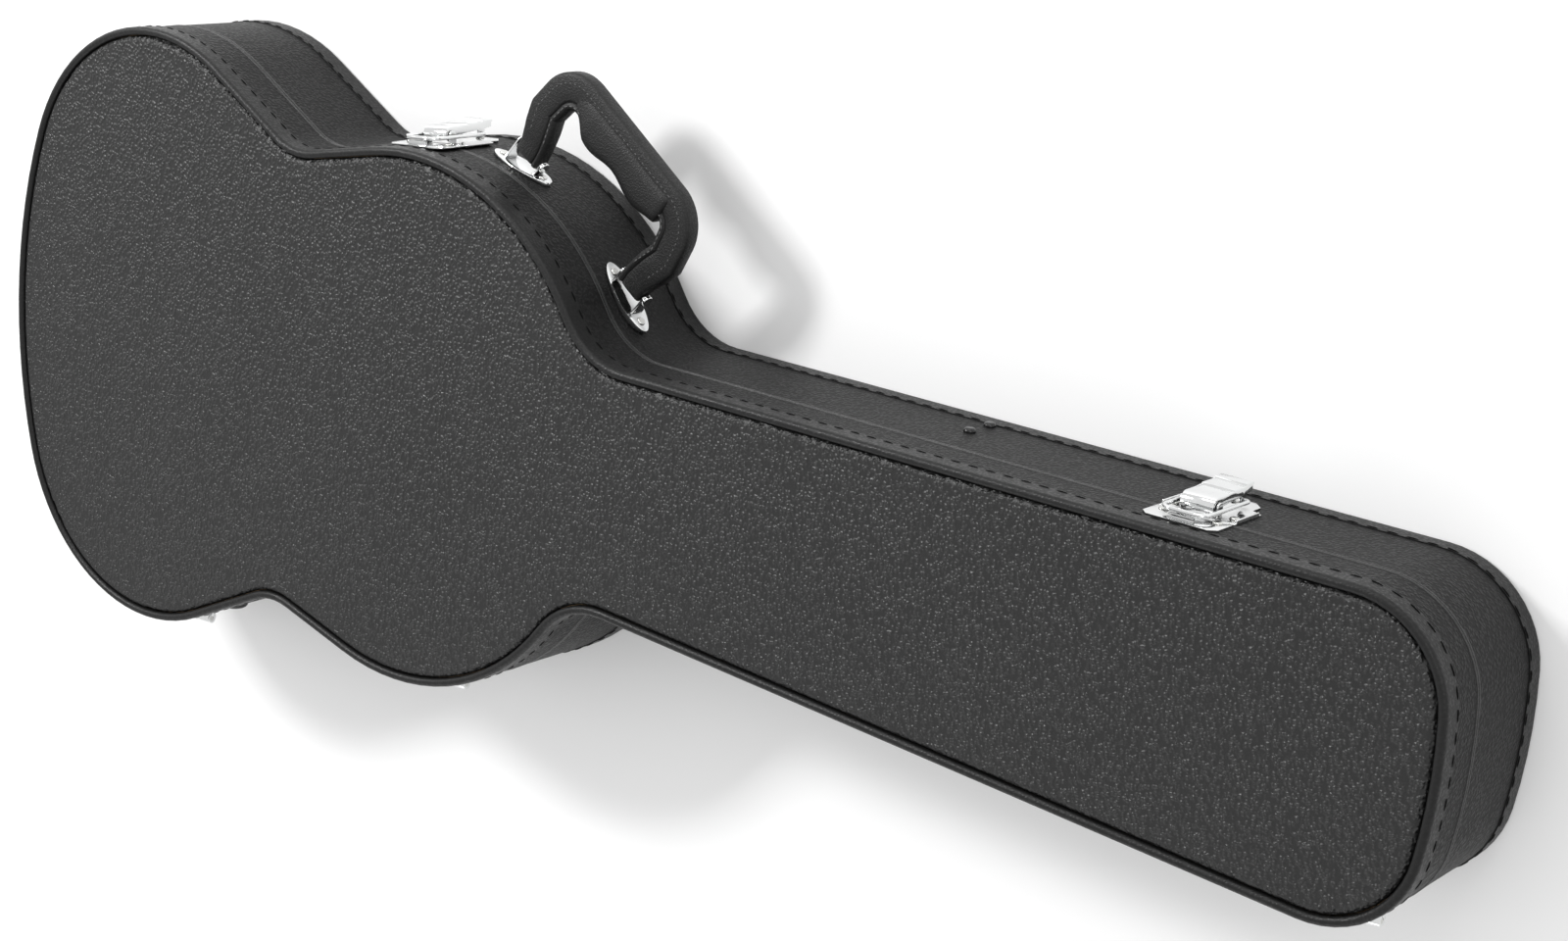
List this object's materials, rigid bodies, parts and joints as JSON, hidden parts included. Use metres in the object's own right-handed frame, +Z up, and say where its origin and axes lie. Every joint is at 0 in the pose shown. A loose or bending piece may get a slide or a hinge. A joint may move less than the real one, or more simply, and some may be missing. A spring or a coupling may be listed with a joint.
{
  "type": "electric guitar case",
  "caption": "Hard case shaped to a double-cutaway electric guitar, with a hinged lid, draw latches, a folding carrying handle, padded lining and an accessory box.",
  "frame": {"origin": "middle of the case's whole length and of its whole width with the handle and the hinges, on the surface it lies on with its lid upwards", "axes": "+X along the neck towards the tail end, -X towards the head end, +Y towards the hinges, -Y towards the handle and latches, +Z up through the lid"},
  "size_m": [1.0398, 0.4232, 0.102],
  "materials": {
    "plywood": "raw poplar plywood",
    "vinyl_leathercloth": "black vinyl with a pebble grain, semi-matt",
    "vinyl_band": "black vinyl binding, finer grain",
    "valance": "black fibre strip",
    "foam": "grey foam",
    "plush": "black plush pile",
    "ribbon": "black woven ribbon",
    "chrome_plate": "chrome-plated pressed steel",
    "rivet_steel": "plated steel",
    "steel_wire": "drawn steel wire",
    "handle_leathercloth": "black stitched leathercloth, satin",
    "black_gloss": "black gloss",
    "foot_plastic": "black nylon"
  },
  "bodies": {
    "base": {"base_panel": "plywood", "base_panel_cover": "vinyl_leathercloth", "base_edge_band": "vinyl_band", "base_rim": "plywood", "base_wall_cover": "vinyl_leathercloth", "base_valance": "valance", "floor_padding": "foam", "body_padding": "foam", "body_lining": "plush", "neck_cradle": "plush", "neck_side_padding": "plush", "neck_end_padding": "plush", "head_padding": "foam", "head_lining": "plush", "accessory_box": "plush", "accessory_hinge_pins": "steel_wire", "latch_plate_body": "chrome_plate", "latch_pin_body": "steel_wire", "latch_plate_neck": "chrome_plate", "latch_pin_neck": "steel_wire", "latch_plate_rivets": "rivet_steel", "handle_plate_tail": "chrome_plate", "handle_plate_neck": "chrome_plate", "handle_pins": "rivet_steel", "handle_plate_rivets": "rivet_steel", "hinge_base_leaves": "chrome_plate", "hinge_pins": "steel_wire", "hinge_base_screws": "rivet_steel", "side_studs": "black_gloss", "side_feet": "foot_plastic"},
    "lid": {"lid_panel": "plywood", "lid_panel_cover": "vinyl_leathercloth", "lid_edge_band": "vinyl_band", "lid_rim": "plywood", "lid_wall_cover": "vinyl_leathercloth", "lid_padding": "foam", "lid_lining": "plush", "latch_strike_body": "chrome_plate", "latch_strike_neck": "chrome_plate", "latch_strike_rivets": "rivet_steel", "hinge_lid_leaves": "chrome_plate", "hinge_lid_screws": "rivet_steel"},
    "latch_lever_body": {"latch_lever_body": "chrome_plate"},
    "latch_lever_neck": {"latch_lever_neck": "chrome_plate"},
    "latch_bail_body": {"latch_bail_body": "chrome_plate"},
    "latch_bail_neck": {"latch_bail_neck": "chrome_plate"},
    "handle": {"handle_strap": "handle_leathercloth", "handle_core": "steel_wire", "handle_grip": "handle_leathercloth"},
    "accessory_lid": {"accessory_lid": "plush", "accessory_pull_tab": "ribbon"}
  },
  "joints": [
    {"name": "lid_hinge", "type": "hinge", "parent": "base", "child": "lid", "pos_m": [0.13382, 0.17177, 0.0675], "axis": [-0.9918, -0.128, 0], "range_deg": [0, 100]},
    {"name": "latch_lever_body_hinge", "type": "hinge", "parent": "base", "child": "latch_lever_body", "pos_m": [0.17158, -0.15951, 0.064], "axis": [-0.9943, -0.1067, 0], "range_deg": [0, 150]},
    {"name": "latch_bail_body_hinge", "type": "hinge", "parent": "latch_lever_body", "child": "latch_bail_body", "pos_m": [0.17147, -0.15851, 0.039], "axis": [-0.9943, -0.1067, 0], "range_deg": [-150, 0]},
    {"name": "latch_lever_neck_hinge", "type": "hinge", "parent": "base", "child": "latch_lever_neck", "pos_m": [-0.36036, -0.08032, 0.064], "axis": [-0.9997, -0.0264, 0], "range_deg": [0, 150]},
    {"name": "latch_bail_neck_hinge", "type": "hinge", "parent": "latch_lever_neck", "child": "latch_bail_neck", "pos_m": [-0.36038, -0.07933, 0.039], "axis": [-0.9997, -0.0264, 0], "range_deg": [-150, 0]},
    {"name": "handle_hinge", "type": "hinge", "parent": "base", "child": "handle", "pos_m": [0.06585, -0.12951, 0.051], "axis": [0.8266, -0.5627, 0], "range_deg": [-75, 75]},
    {"name": "accessory_lid_hinge", "type": "hinge", "parent": "base", "child": "accessory_lid", "pos_m": [-0.0974, 0.06487, 0.0482], "axis": [-1, 0, 0], "range_deg": [0, 80]}
  ],
  "couplings": [
    {"joint": "latch_bail_body_hinge", "follows": "latch_lever_body_hinge", "ratio": -1},
    {"joint": "latch_bail_neck_hinge", "follows": "latch_lever_neck_hinge", "ratio": -1},
    {"joint": "accessory_lid_hinge", "follows": "lid_hinge", "ratio": 0.8}
  ]
}
